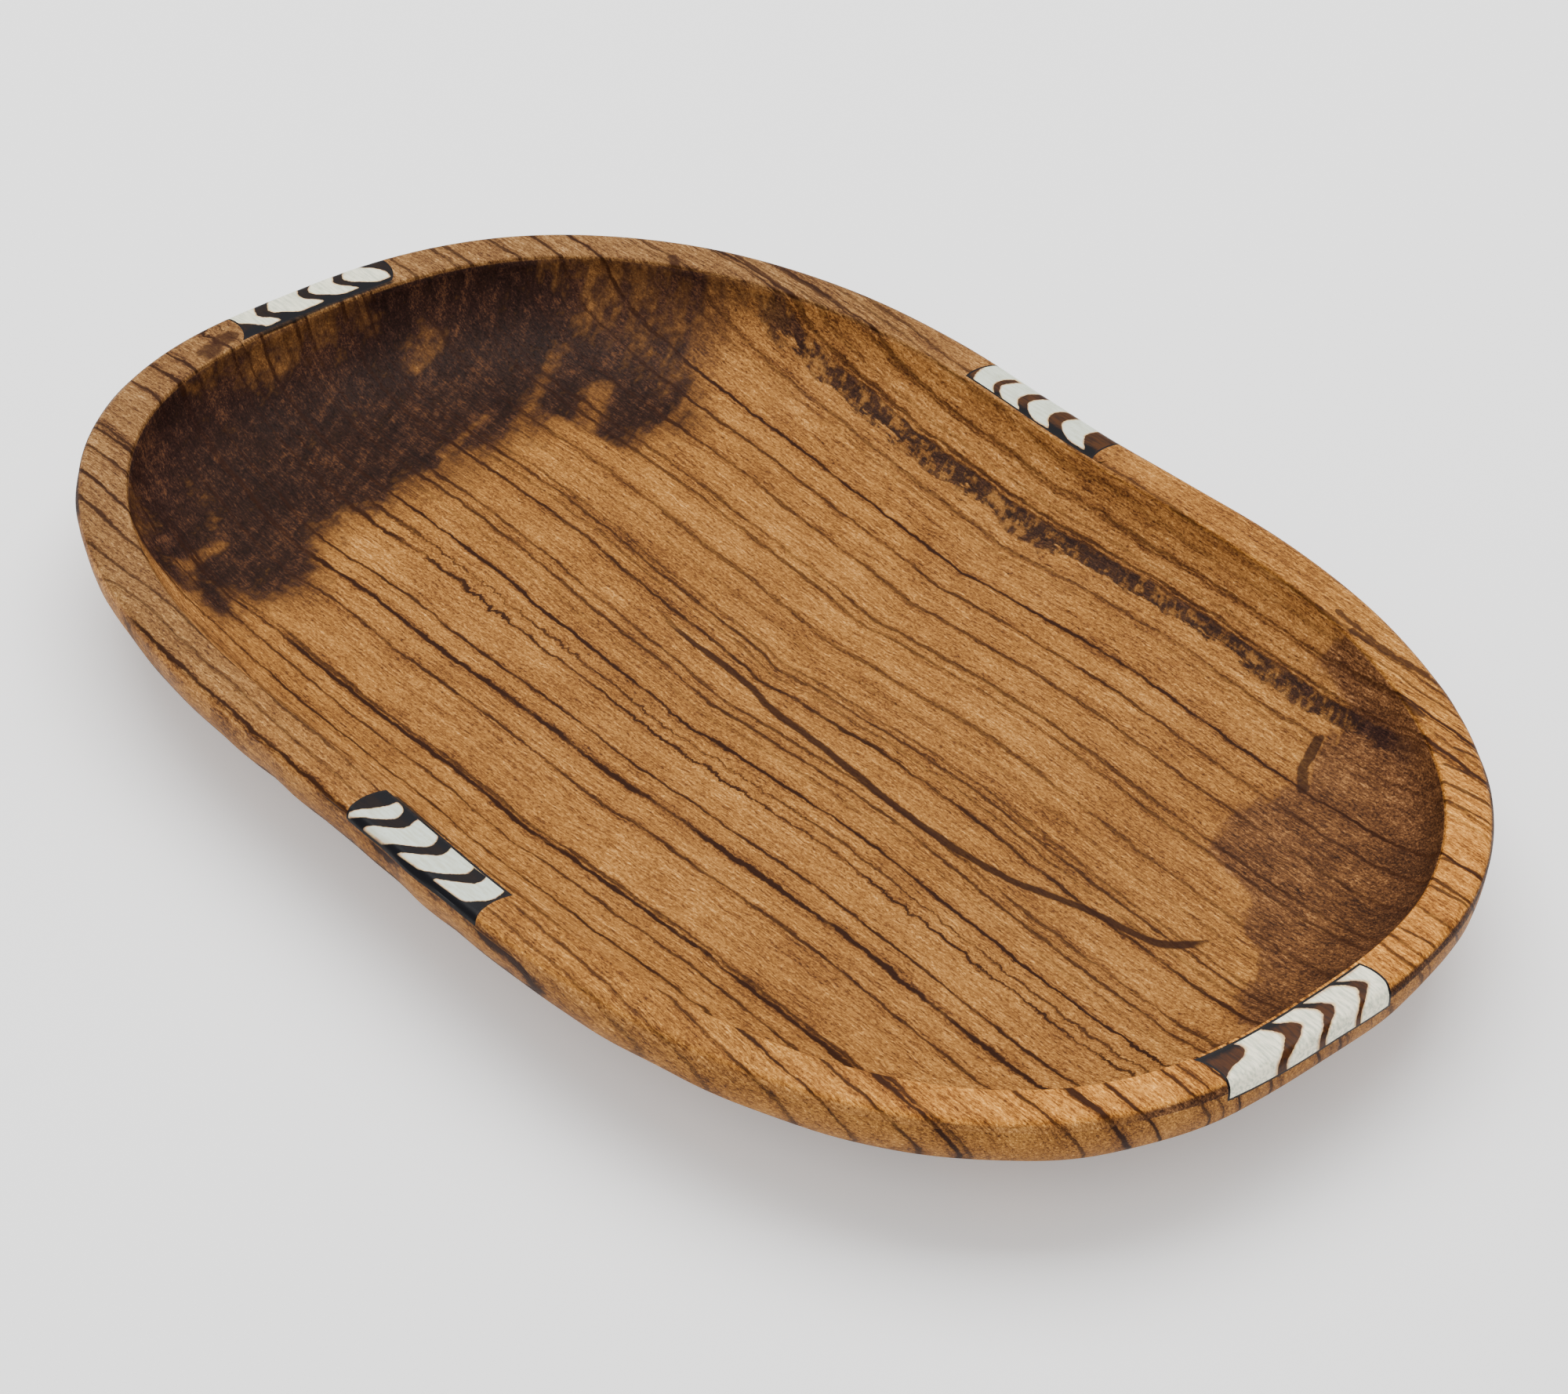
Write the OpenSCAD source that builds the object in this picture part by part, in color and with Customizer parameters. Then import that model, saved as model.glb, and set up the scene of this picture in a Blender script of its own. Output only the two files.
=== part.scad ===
// Oblong dish carved from one block of figured wood, with four bone slips let into its rim.
// Each slip sits on a bed of black resin. The origin is under the middle of the flat base,
// +X runs along the dish and +Z is up. The front is the -Y side.

/* [Dish] */
// Overall length, end to end
dish_length = 300; // [260:5:360]
// Overall width, side to side
dish_width = 184.5; // [170:0.5:220]
// Overall height
dish_height = 27; // [25:0.5:32]
// Squareness of the outline: 2 is an ellipse, more is boxier
outline_power = 2.5; // [2.2:0.05:3]
// Extra fullness of the four corners, as a part of their distance from the middle
corner_fullness = 0.017; // [0:0.001:0.03]
// How far the flat base lies in from the outline
base_inset = 47; // [44:1:60]
// Radius of the worn outer edge of the rim
outer_edge_radius = 2; // [1.5:0.25:3]

/* [Hollow] */
// Width of the flat band round the rim
rim_width = 10; // [9:0.2:11]
// How far the hollow lies towards the right end, which makes the rim wider at the left end
hollow_shift = 1.2; // [-2:0.2:2]
// Radius of the inner edge of the rim
inner_edge_radius = 0.7; // [0.4:0.1:1]
// Depth from the rim to the middle of the floor
floor_depth = 17.5; // [14:0.5:18.5]
// How soon the coved wall turns into the floor: more is sooner
cove_tightness = 7; // [5:0.5:9]

/* [Bone slips] */
// Length of each slip's pocket along the rim
pocket_length = 39; // [34:1:42]
// Radius of the round end and of the hollow end of each pocket
pocket_end_radius = 9; // [8.5:0.5:12]
// Wood left between a pocket and the inner edge of the rim
pocket_lip = 0.8; // [0.7:0.1:1.2]
// Thickness of the resin under and around each slip
resin_thickness = 0.45; // [0.3:0.05:0.7]
// Depth of the pockets at both ends and at the back
pocket_depth = 4; // [3:0.25:4.5]
// Depth of the front pocket, which is cut shallower
front_pocket_depth = 1.75; // [1.5:0.25:3.5]

/* [Slip places] */
// How far the left slip lies towards the back
left_shift = 2; // [-10:1:10]
// How far the right slip lies towards the front
right_shift = 6; // [-10:1:10]
// How far the front slip lies towards the right
front_shift = 18; // [-25:1:25]
// How far the back slip lies towards the left
back_shift = 15; // [-25:1:25]

/* [Hidden] */

half_length = dish_length / 2;
half_width = dish_width / 2;
segments = 96;
pocket_segments = 3 * segments;
wall_steps = 8;
edge_steps = 3;
hollow_steps = 12;
// The hollow is a little boxier than the outside
hollow_power = outline_power + 0.11;
cove_roundness = 1.6;
hollow_reach = half_width - rim_width;
// The rings of the floor stop short of the middle line, round a small flat
middle_flat = 7;
floor_reach = hollow_reach - middle_flat;
// A pocket is cut this far past the rim on each side and above it
overrun = 2;

wood_colour = [0.62, 0.40, 0.20];
bone_colour = [0.93, 0.93, 0.86];
resin_colour = [0.08, 0.08, 0.09];

// The outline is a superellipse with fuller corners, drawn in from the edge by the inset. What
// belongs to the hollow is moved along by its shift.
function outline_radius(angle, inset, power) =
    (1 + corner_fullness * (1 - cos(4 * angle)))
    * pow(pow(abs(cos(angle)) / (half_length - inset), power)
          + pow(abs(sin(angle)) / (half_width - inset), power), -1 / power);

function outline(inset, power, count = segments, start = 0) = [
    for (i = [0 : count - 1])
        let (angle = 360 * (i + start) / count, radius = outline_radius(angle, inset, power),
             shift = power == hollow_power ? hollow_shift : 0)
            [shift + radius * cos(angle), radius * sin(angle)]
];

function ring(level) = [for (p = outline(level[0], level[2])) [p.x, p.y, level[1]]];

// Depth of the hollow at a distance in from its edge: a steep wall, a cove and a flat floor
function hollow_drop(reach) =
    floor_depth * pow(1 - pow(1 - reach / hollow_reach, cove_tightness), 1 / cove_roundness);

// Each level is [inset, height, power]. They run from the base, up the outside, over the rim
// and down the hollow.
wall_levels = [
    for (i = [0 : wall_steps])
        let (angle = 90 * (1 - i / wall_steps))
            [base_inset * (1 - cos(angle)),
             (dish_height - outer_edge_radius) * (1 - sin(angle)), outline_power]
];
outer_edge_levels = [
    for (i = [1 : edge_steps])
        let (angle = 90 * i / edge_steps)
            [outer_edge_radius * (1 - cos(angle)),
             dish_height - outer_edge_radius * (1 - sin(angle)), outline_power]
];
inner_edge_levels = [
    for (i = [0 : edge_steps])
        let (angle = 90 * i / edge_steps)
            [rim_width - inner_edge_radius * (1 - sin(angle)),
             dish_height - inner_edge_radius * (1 - cos(angle)), hollow_power]
];
hollow_levels = [
    for (i = [1 : hollow_steps])
        let (reach = floor_reach * pow(i / hollow_steps, 2))
            [rim_width + reach, dish_height - hollow_drop(reach), hollow_power]
];
levels = concat(wall_levels, outer_edge_levels, inner_edge_levels, hollow_levels);

// The dish before its pockets are cut: one closed skin of rings
module blank() {
    last = len(levels) - 1;
    points = [for (level = levels) each ring(level)];
    sides = [
        for (k = [0 : last - 1], i = [0 : segments - 1])
            let (j = (i + 1) % segments, low = k * segments, high = low + segments)
                each [[low + i, high + i, high + j], [low + i, high + j, low + j]]
    ];
    base = [for (i = [0 : segments - 1]) i];
    middle = [for (i = [segments - 1 : -1 : 0]) last * segments + i];
    polyhedron(points = points, faces = concat(sides, [base], [middle]), convexity = 4);
}

// Plan of a bar across the rim band, round at local +X and hollow at local -X. Local Y is
// measured outwards from the middle of the band. The gap shrinks it evenly.
module bar_plan(gap) {
    half_band = rim_width / 2 + overrun;
    round_centre = pocket_length / 2 - pocket_end_radius;
    end_rise = pocket_end_radius - sqrt(pow(pocket_end_radius, 2) - pow(rim_width / 2, 2));
    hollow_centre = end_rise - pocket_length / 2 - pocket_end_radius;
    difference() {
        union() {
            translate([hollow_centre, -half_band])
                square([round_centre - hollow_centre, 2 * half_band]);
            intersection() {
                translate([round_centre, 0]) circle(r = pocket_end_radius - gap, $fn = 96);
                translate([0, -half_band]) square([pocket_length, 2 * half_band]);
            }
        }
        translate([hollow_centre, 0]) circle(r = pocket_end_radius + gap, $fn = 96);
    }
}

// A pocket, or with a gap the slip inside it, from the plan of its bar. Its inner side follows the
// edge of the hollow in short steps. They start half a step off the rings, so that no corner lands
// on an edge of theirs.
module pocket(depth, gap) {
    translate([0, 0, dish_height - depth + gap])
        linear_extrude(height = depth + overrun)
            difference() {
                children();
                polygon(outline(rim_width - pocket_lip - gap, hollow_power, pocket_segments, 0.5));
            }
}

// Each pocket's middle lies on the middle of the rim band. Its round end points to the back at
// both ends of the dish, and to the left at the front and the back.
band_middle = rim_width / 2;
module left_pocket(gap = 0)
    pocket(pocket_depth, gap)
        mirror([1, 0]) translate([half_length - band_middle, left_shift]) rotate(90) bar_plan(gap);
module right_pocket(gap = 0)
    pocket(pocket_depth, gap)
        translate([half_length - band_middle, -right_shift]) rotate(90) bar_plan(gap);
module front_pocket(gap = 0)
    pocket(front_pocket_depth, gap)
        translate([front_shift, band_middle - half_width]) rotate(180) bar_plan(gap);
module back_pocket(gap = 0)
    pocket(pocket_depth, gap)
        mirror([1, 0]) translate([back_shift, half_width - band_middle]) bar_plan(gap);

module bowl()
    color(wood_colour)
        difference() {
            blank();
            left_pocket();
            right_pocket();
            front_pocket();
            back_pocket();
        }

// A slip fills its pocket but for the resin, and is carved flush with the rim
module bone_slip()
    color(bone_colour)
        intersection() {
            blank();
            children();
        }

// A bed is the resin between a slip, the second child, and its pocket, the first
module resin_bed()
    color(resin_colour)
        intersection() {
            blank();
            difference() {
                children(0);
                children(1);
            }
        }

module bone_slip_left() bone_slip() left_pocket(resin_thickness);
module bone_slip_right() bone_slip() right_pocket(resin_thickness);
module bone_slip_front() bone_slip() front_pocket(resin_thickness);
module bone_slip_back() bone_slip() back_pocket(resin_thickness);

module resin_bed_left() resin_bed() {
    left_pocket();
    left_pocket(resin_thickness);
}
module resin_bed_right() resin_bed() {
    right_pocket();
    right_pocket(resin_thickness);
}
module resin_bed_front() resin_bed() {
    front_pocket();
    front_pocket(resin_thickness);
}
module resin_bed_back() resin_bed() {
    back_pocket();
    back_pocket(resin_thickness);
}

bowl();
bone_slip_left();
bone_slip_right();
bone_slip_front();
bone_slip_back();
resin_bed_left();
resin_bed_right();
resin_bed_front();
resin_bed_back();
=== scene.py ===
"""An oblong dish carved from figured wood, with four dyed bone slips let into its rim.

The dish, the slips and the resin round them are rebuilt here finely from the same formulas as
the CAD part, with a little of the carver's unevenness added. Lengths are in millimetres until a
mesh is made. The front is the -Y side.
"""

import math
from types import SimpleNamespace

import bpy
import numpy as np
from mathutils import Matrix, Vector


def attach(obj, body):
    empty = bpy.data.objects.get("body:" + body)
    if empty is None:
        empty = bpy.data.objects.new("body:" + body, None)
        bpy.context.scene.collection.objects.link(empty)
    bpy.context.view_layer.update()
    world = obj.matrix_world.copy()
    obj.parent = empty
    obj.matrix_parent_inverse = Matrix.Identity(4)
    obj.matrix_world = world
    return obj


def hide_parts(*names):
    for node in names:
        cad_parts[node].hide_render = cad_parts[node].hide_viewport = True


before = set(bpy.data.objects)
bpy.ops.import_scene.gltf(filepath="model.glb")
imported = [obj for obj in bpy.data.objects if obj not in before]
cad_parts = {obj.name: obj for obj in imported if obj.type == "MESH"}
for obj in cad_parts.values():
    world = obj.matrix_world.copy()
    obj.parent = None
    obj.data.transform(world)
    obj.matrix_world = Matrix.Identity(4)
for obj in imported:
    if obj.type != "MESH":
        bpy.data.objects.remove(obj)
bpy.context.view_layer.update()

MM = 0.001

# ---------------------------------------------------------------------------------------------
# The shape, as in the CAD part
# ---------------------------------------------------------------------------------------------
HALF_LENGTH = 150.0
HALF_WIDTH = 92.25
HEIGHT = 27.0
OUTLINE_POWER = 2.5
HOLLOW_POWER = 2.61
HOLLOW_SHIFT = 1.2
CORNER_FULLNESS = 0.017
BASE_INSET = 47.0
OUTER_EDGE = 2.0
RIM_WIDTH = 10.0
INNER_EDGE = 0.7
FLOOR_DEPTH = 17.5
COVE_TIGHTNESS = 7.0
COVE_ROUNDNESS = 1.6
HOLLOW_REACH = HALF_WIDTH - RIM_WIDTH
POCKET_LENGTH = 39.0
POCKET_END = 9.0
POCKET_LIP = 0.8
RESIN = 0.45
OVERRUN = 2.0
# Where the flat of the rim ends, at the rounding of its inner edge
FLAT_END = RIM_WIDTH - INNER_EDGE
POCKET_DEPTH = {"left": 4.0, "right": 4.0, "front": 1.75, "back": 4.0}
# The middle of each slip, as its place along the rim
SLIP_MIDDLE = {"left": 2.0, "right": -6.0, "front": 18.0, "back": -15.0}

# How finely the meshes are made. The hollow's rings stop just short of the middle line.
AROUND = 480
WALL_STEPS = 20
OUTER_EDGE_STEPS = 7
INNER_EDGE_STEPS = 4
HOLLOW_STEPS = 60
MIDDLE_FLAT = 0.3
BAR_END_STEPS = 48
POCKET_STEP = 0.8
SHARP_ANGLE = 35

# Waves round the outline: (count, size, phase). They are whole up to the first inset and fade out
# towards the second, so that the floor stays even.
STRAY = [(2, 0.15, 3.1), (3, 0.5, 1.1), (4, 0.3, -2.5), (5, 0.6, 1.1)]
STRAY_WHOLE, STRAY_GONE = 12.0, 60.0


def waves(angle, parts):
    """A smooth hand-carved wobble: a sum of (count, size, phase) waves round the dish."""
    return sum(size * np.cos(count * angle + phase) for count, size, phase in parts)


def outline_radius(angle, inset, power):
    """Distance from the middle to the outline drawn in by the inset. Angles are in radians."""
    even = (1 + CORNER_FULLNESS * (1 - np.cos(4 * angle))) * (
        (np.abs(np.cos(angle)) / (HALF_LENGTH - inset)) ** power
        + (np.abs(np.sin(angle)) / (HALF_WIDTH - inset)) ** power
    ) ** (-1 / power)
    fade = (STRAY_GONE - inset) / (STRAY_GONE - STRAY_WHOLE)
    return even + waves(angle, STRAY) * min(1.0, max(0.0, fade))


def hollow_drop(reach):
    return FLOOR_DEPTH * (1 - (1 - reach / HOLLOW_REACH) ** COVE_TIGHTNESS) ** (1 / COVE_ROUNDNESS)


def profile():
    """Rings of the dish from the base, up the outside, over the rim and down the hollow. Each is
    (inset, height, power, shift). The flat of the rim leads over to the shifted hollow."""
    rings = []
    for i in range(WALL_STEPS + 1):
        angle = math.pi / 2 * (1 - i / WALL_STEPS)
        rings.append((BASE_INSET * (1 - math.cos(angle)),
                      (HEIGHT - OUTER_EDGE) * (1 - math.sin(angle)), OUTLINE_POWER, 0.0))
    for i in range(1, OUTER_EDGE_STEPS + 1):
        angle = math.pi / 2 * i / OUTER_EDGE_STEPS
        rings.append((OUTER_EDGE * (1 - math.cos(angle)),
                      HEIGHT - OUTER_EDGE * (1 - math.sin(angle)), OUTLINE_POWER, 0.0))
    for inset in (3.8, 5.6, 7.4):
        rings.append((inset, HEIGHT,
                      OUTLINE_POWER + (HOLLOW_POWER - OUTLINE_POWER) * inset / FLAT_END,
                      HOLLOW_SHIFT * (inset - OUTER_EDGE) / (FLAT_END - OUTER_EDGE)))
    for i in range(INNER_EDGE_STEPS + 1):
        angle = math.pi / 2 * i / INNER_EDGE_STEPS
        rings.append((RIM_WIDTH - INNER_EDGE * (1 - math.sin(angle)),
                      HEIGHT - INNER_EDGE * (1 - math.cos(angle)), HOLLOW_POWER, HOLLOW_SHIFT))
    for i in range(1, HOLLOW_STEPS + 1):
        reach = (HOLLOW_REACH - MIDDLE_FLAT) * (i / HOLLOW_STEPS) ** 1.8
        rings.append((RIM_WIDTH + reach, HEIGHT - hollow_drop(reach), HOLLOW_POWER, HOLLOW_SHIFT))
    return rings


def carve(angle, inset, height):
    """How far the carver's hand strays: (inwards, down), in millimetres."""
    rim = np.clip(1 - abs(inset - 1) / 12, 0, 1) if height > 20 else 0
    on_wall = inset < BASE_INSET and 0.01 < height < HEIGHT - 1
    inwards = 0.0
    if on_wall:
        facet = waves(angle, [(31, 0.5, 1.1), (43, 0.3, 2.9 + height * 0.11), (17, 0.4, height * 0.06)])
        inwards = (0.30 + 0.22 * facet) * min(1, height / 6)
    elif height > HEIGHT - 1.5 and inset <= FLAT_END + 0.05:
        inwards = (0.22 + 0.12 * waves(angle, [(9, 0.6, 0.4), (23, 0.4, 2.0)])) * (1 - inset / 10)
    down = 0.0
    if rim:
        down = rim * (0.14 + 0.1 * waves(angle, [(7, 0.6, 0.9), (13, 0.4, 2.2)]))
    return inwards, down


def blank(rings):
    """The dish before its pockets are cut: (vertices, faces)."""
    angle = np.arange(AROUND) * 2 * math.pi / AROUND
    points = []
    for inset, height, power, shift in rings:
        inwards, down = carve(angle, inset, height)
        radius = outline_radius(angle, inset, power) - inwards
        points.append(np.stack([shift + radius * np.cos(angle), radius * np.sin(angle),
                                np.full(AROUND, height) - down], axis=1))
    points = np.concatenate(points)
    faces = []
    for k in range(len(rings) - 1):
        low, high = k * AROUND, (k + 1) * AROUND
        for i in range(AROUND):
            j = (i + 1) % AROUND
            faces.append((low + i, low + j, high + j, high + i))
    faces.append(tuple(range(AROUND - 1, -1, -1)))
    faces.append(tuple(range(len(points) - AROUND, len(points))))
    return points, faces


def make_object(name, points, faces):
    mesh = bpy.data.meshes.new(name)
    mesh.from_pydata((np.asarray(points) * MM).tolist(), [], faces)
    mesh.update()
    obj = bpy.data.objects.new(name, mesh)
    bpy.context.scene.collection.objects.link(obj)
    return obj


def bar_outline(gap):
    """The bar's plan as a ring of points: round at +X, hollow at -X. +Y is outwards."""
    half_band = RIM_WIDTH / 2 + OVERRUN
    round_centre = POCKET_LENGTH / 2 - POCKET_END
    end_rise = POCKET_END - math.sqrt(POCKET_END ** 2 - (RIM_WIDTH / 2) ** 2)
    hollow_centre = end_rise - POCKET_LENGTH / 2 - POCKET_END
    ring = []
    for centre, radius, way in ((round_centre, POCKET_END - gap, 1),
                                (hollow_centre, POCKET_END + gap, -1)):
        top = way * math.asin(half_band / radius)
        for i in range(BAR_END_STEPS + 1):
            a = top * (2 * i / BAR_END_STEPS - 1)
            ring.append((centre + radius * math.cos(a), radius * math.sin(a)))
    return np.array(ring)


def pocket(name, side, depth, gap=0.0):
    """A closed cutter for one pocket, or with a gap for the slip inside it."""
    bar = bar_outline(gap)
    along, out = bar[:, 0], bar[:, 1]
    middle = SLIP_MIDDLE[side]
    half_rim = RIM_WIDTH / 2
    if side == "left":
        plan = np.stack([half_rim - HALF_LENGTH - out, middle + along], 1)
    elif side == "right":
        plan = np.stack([HALF_LENGTH - half_rim + out, middle + along], 1)
    elif side == "front":
        plan = np.stack([middle - along, half_rim - HALF_WIDTH - out], 1)
    else:
        plan = np.stack([middle - along, HALF_WIDTH - half_rim + out], 1)
    # Points that lie inside the lip move out to it, along the short way across the rim
    lip = RIM_WIDTH - POCKET_LIP - gap
    steps = []
    for a, b in zip(plan, np.roll(plan, -1, axis=0)):
        count = max(1, int(np.hypot(*(b - a)) / POCKET_STEP))
        steps.extend(a + (b - a) * i / count for i in range(count))
    plan = np.array(steps)
    across = 0 if side in ("left", "right") else 1
    for p in plan:
        sign = 1 if p[across] > 0 else -1
        # Halving finds the lip between a place inside it and one outside
        low, high = 60.0, 160.0
        for _ in range(40):
            mid = (low + high) / 2
            q = p.copy()
            q[across] = sign * mid
            q[0] -= HOLLOW_SHIFT
            a = math.atan2(q[1], q[0])
            if math.hypot(*q) > outline_radius(a, lip, HOLLOW_POWER):
                high = mid
            else:
                low = mid
        if abs(p[across]) < low:
            p[across] = sign * low
    area = np.sum(plan[:, 0] * np.roll(plan[:, 1], -1) - np.roll(plan[:, 0], -1) * plan[:, 1])
    if area < 0:
        plan = plan[::-1]
    count = len(plan)
    floor, roof = HEIGHT - depth + gap, HEIGHT + OVERRUN
    points = np.concatenate([np.column_stack([plan, np.full(count, floor)]),
                             np.column_stack([plan, np.full(count, roof)])])
    faces = [(i, (i + 1) % count, count + (i + 1) % count, count + i) for i in range(count)]
    faces.append(tuple(range(count - 1, -1, -1)))
    faces.append(tuple(range(count, 2 * count)))
    return make_object(name, points, faces)


def cut(obj, cutter, operation):
    """Applies one Boolean and leaves the result in obj."""
    modifier = obj.modifiers.new("cut", "BOOLEAN")
    modifier.operation = operation
    modifier.object = cutter
    modifier.solver = "MANIFOLD"
    bpy.context.view_layer.update()
    result = bpy.data.meshes.new_from_object(
        obj.evaluated_get(bpy.context.evaluated_depsgraph_get()))
    obj.modifiers.clear()
    old = obj.data
    obj.data = result
    bpy.data.meshes.remove(old)


def smooth(obj):
    obj.data.shade_smooth()
    obj.data.set_sharp_from_angle(angle=math.radians(SHARP_ANGLE))


points, faces = blank(profile())
dish = make_object("dish", points, faces)
pockets = {side: pocket("pocket_" + side, side, depth) for side, depth in POCKET_DEPTH.items()}
slips, beds = {}, {}
for side, depth in POCKET_DEPTH.items():
    inner = pocket("inner_" + side, side, depth, RESIN)
    slips[side] = make_object("bone_" + side, points, faces)
    cut(slips[side], inner, "INTERSECT")
    beds[side] = make_object("resin_" + side, points, faces)
    cut(beds[side], pockets[side], "INTERSECT")
    cut(beds[side], inner, "DIFFERENCE")
    bpy.data.objects.remove(inner)
for side in POCKET_DEPTH:
    cut(dish, pockets[side], "DIFFERENCE")
    bpy.data.objects.remove(pockets[side])
for obj in (dish, *slips.values(), *beds.values()):
    smooth(obj)


# ---------------------------------------------------------------------------------------------
# Materials
# ---------------------------------------------------------------------------------------------
def srgb(red, green, blue):
    """A colour given in 0 to 255 display values, as linear light."""
    def linear(v):
        v /= 255
        return v / 12.92 if v <= 0.04045 else ((v + 0.055) / 1.055) ** 2.4
    return (linear(red), linear(green), linear(blue), 1.0)


class Graph:
    """A few short calls for building a node material."""

    def __init__(self, name):
        self.material = bpy.data.materials.new(name)
        self.material.use_nodes = True
        self.tree = self.material.node_tree
        self.shader = self.tree.nodes["Principled BSDF"]

    def add(self, kind, **settings):
        node = self.tree.nodes.new("ShaderNode" + kind)
        for key, value in settings.items():
            setattr(node, key, value)
        return node

    def put(self, socket, value):
        if isinstance(value, bpy.types.NodeSocket):
            self.tree.links.new(value, socket)
        else:
            socket.default_value = value

    def math(self, operation, a, b=0.0, c=0.0, clamp=False):
        node = self.add("Math", operation=operation, use_clamp=clamp)
        for socket, value in zip(node.inputs, (a, b, c)):
            self.put(socket, value)
        return node.outputs[0]

    def total(self, *terms):
        result = terms[0]
        for term in terms[1:]:
            result = self.math("ADD", result, term)
        return result

    def times(self, a, b, clamp=False):
        return self.math("MULTIPLY", a, b, clamp=clamp)

    def minus(self, a, b):
        return self.math("SUBTRACT", a, b)

    def step(self, value, low, high, to_low=0.0, to_high=1.0):
        """Eases from to_low at low to to_high at high."""
        node = self.add("MapRange", interpolation_type="SMOOTHSTEP", clamp=True)
        for socket, v in zip(node.inputs, (value, low, high, to_low, to_high)):
            self.put(socket, v)
        return node.outputs[0]

    def mix(self, factor, a, b, blend="MIX"):
        node = self.add("Mix", data_type="RGBA", blend_type=blend)
        self.put(node.inputs["Factor"], factor)
        self.put(node.inputs[6], a)
        self.put(node.inputs[7], b)
        return node.outputs[2]

    def ramp(self, value, stops):
        node = self.add("ValToRGB")
        self.put(node.inputs[0], value)
        elements = node.color_ramp.elements
        while len(elements) < len(stops):
            elements.new(0.5)
        for element, (place, colour) in zip(elements, stops):
            element.position = place
            element.color = colour
        return node.outputs[0]

    def around(self, noise, size):
        """Noise centred on 0, times the size."""
        return self.math("MULTIPLY_ADD", noise, size, -0.5 * size)

    def vector(self, x, y, z):
        node = self.add("CombineXYZ")
        for socket, value in zip(node.inputs, (x, y, z)):
            self.put(socket, value)
        return node.outputs[0]

    def noise(self, vector, detail=3.0, roughness=0.55):
        """Noise of mean 0.5, one feature to a unit of the vector."""
        node = self.add("TexNoise", noise_dimensions="3D")
        self.put(node.inputs["Vector"], vector)
        node.inputs["Scale"].default_value = 1.0
        node.inputs["Detail"].default_value = detail
        node.inputs["Roughness"].default_value = roughness
        return node.outputs[0]

    def curve(self, value, low, high, pairs, bottom, top, sharp=()):
        """A curve drawn through (value, result) pairs, with a corner at each sharp value."""
        node = self.add("FloatCurve")
        self.put(node.inputs["Value"], self.step_linear(value, low, high))
        line = node.mapping.curves[0]
        spots = [((a - low) / (high - low), (b - bottom) / (top - bottom)) for a, b in pairs]
        while len(line.points) < len(spots):
            line.points.new(0.5, 0.5)
        for point, spot, pair in zip(line.points, spots, pairs):
            point.location = spot
            point.handle_type = "VECTOR" if pair[0] in sharp else "AUTO"
        node.mapping.update()
        return self.total(self.times(node.outputs[0], top - bottom), bottom)

    def step_linear(self, value, low, high):
        node = self.add("MapRange", interpolation_type="LINEAR", clamp=True)
        for socket, v in zip(node.inputs, (value, low, high, 0.0, 1.0)):
            self.put(socket, v)
        return node.outputs[0]

    def place(self):
        """x, y and z in millimetres, in the dish's own frame."""
        coordinate = self.add("TexCoord").outputs["Object"]
        split = self.add("SeparateXYZ")
        scale = self.add("VectorMath", operation="SCALE")
        self.put(scale.inputs[0], coordinate)
        scale.inputs["Scale"].default_value = 1000.0
        self.put(split.inputs[0], scale.outputs[0])
        return split.outputs

    def bump(self, height, distance_mm, strength=1.0):
        node = self.add("Bump")
        node.inputs["Strength"].default_value = strength
        node.inputs["Distance"].default_value = distance_mm * MM
        self.put(node.inputs["Height"], height)
        self.put(self.shader.inputs["Normal"], node.outputs[0])

    def stroke(self, x, y, start, end, half, soft, strength=1.0):
        """A brushed stroke between two points: its strength inside, 0 past its soft edge."""
        length = math.dist(start, end)
        ux, uy = (end[0] - start[0]) / length, (end[1] - start[1]) / length
        dx, dy = self.minus(x, start[0]), self.minus(y, start[1])
        along = self.math("MULTIPLY_ADD", dx, ux, self.times(dy, uy))
        across = self.math("MULTIPLY_ADD", dx, -uy, self.times(dy, ux))
        nearest = self.math("MINIMUM", self.math("MAXIMUM", along, 0.0), length)
        past = self.minus(along, nearest)
        away = self.math("SQRT", self.math("MULTIPLY_ADD", past, past, self.times(across, across)))
        return self.step(away, half + soft, max(half - soft, 0.0), 0.0, strength)


# Dark grain lines: (place across the dish, half width, darkness). The places are where each line
# passes x = -30, and the warp below carries it along the dish.
GRAIN_LINES = [
    (88.0, 0.5, 0.45), (85.3, 0.4, 0.35), (81.9, 0.35, 0.8), (81.2, 0.25, 0.5), (78.6, 0.4, 0.35),
    (76.6, 0.45, 0.8), (75.6, 0.3, 0.5), (67.2, 0.5, 0.45), (65.2, 0.4, 0.2),
    (56.2, 0.4, 0.85), (49.9, 0.42, 0.65), (42.5, 0.5, 0.55), (33.7, 0.5, 0.55), (31.0, 0.5, 0.55),
    (22.1, 0.6, 0.5), (17.0, 0.5, 0.2), (11.3, 0.4, 0.45), (9.5, 0.42, 0.65), (7.4, 0.5, 0.35),
    (4.3, 0.5, 0.75), (-4.8, 0.4, 0.6), (-7.5, 0.45, 0.65), (-10.5, 0.6, 0.2),
    (-15.4, 0.42, 0.85), (-19.4, 0.35, 0.6), (-22.6, 0.42, 0.75), (-32.0, 0.38, 0.75),
    (-37.1, 0.65, 0.95), (-43.7, 0.42, 0.65), (-57.6, 0.45, 0.6), (-58.8, 0.55, 0.85),
    (-63.2, 0.35, 0.65), (-69.2, 0.35, 0.75), (-74.2, 0.45, 0.6), (-80.5, 0.4, 0.5),
    (-84.3, 0.4, 0.35), (-88.4, 0.42, 0.85), (-91.0, 0.5, 0.5),
]


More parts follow.
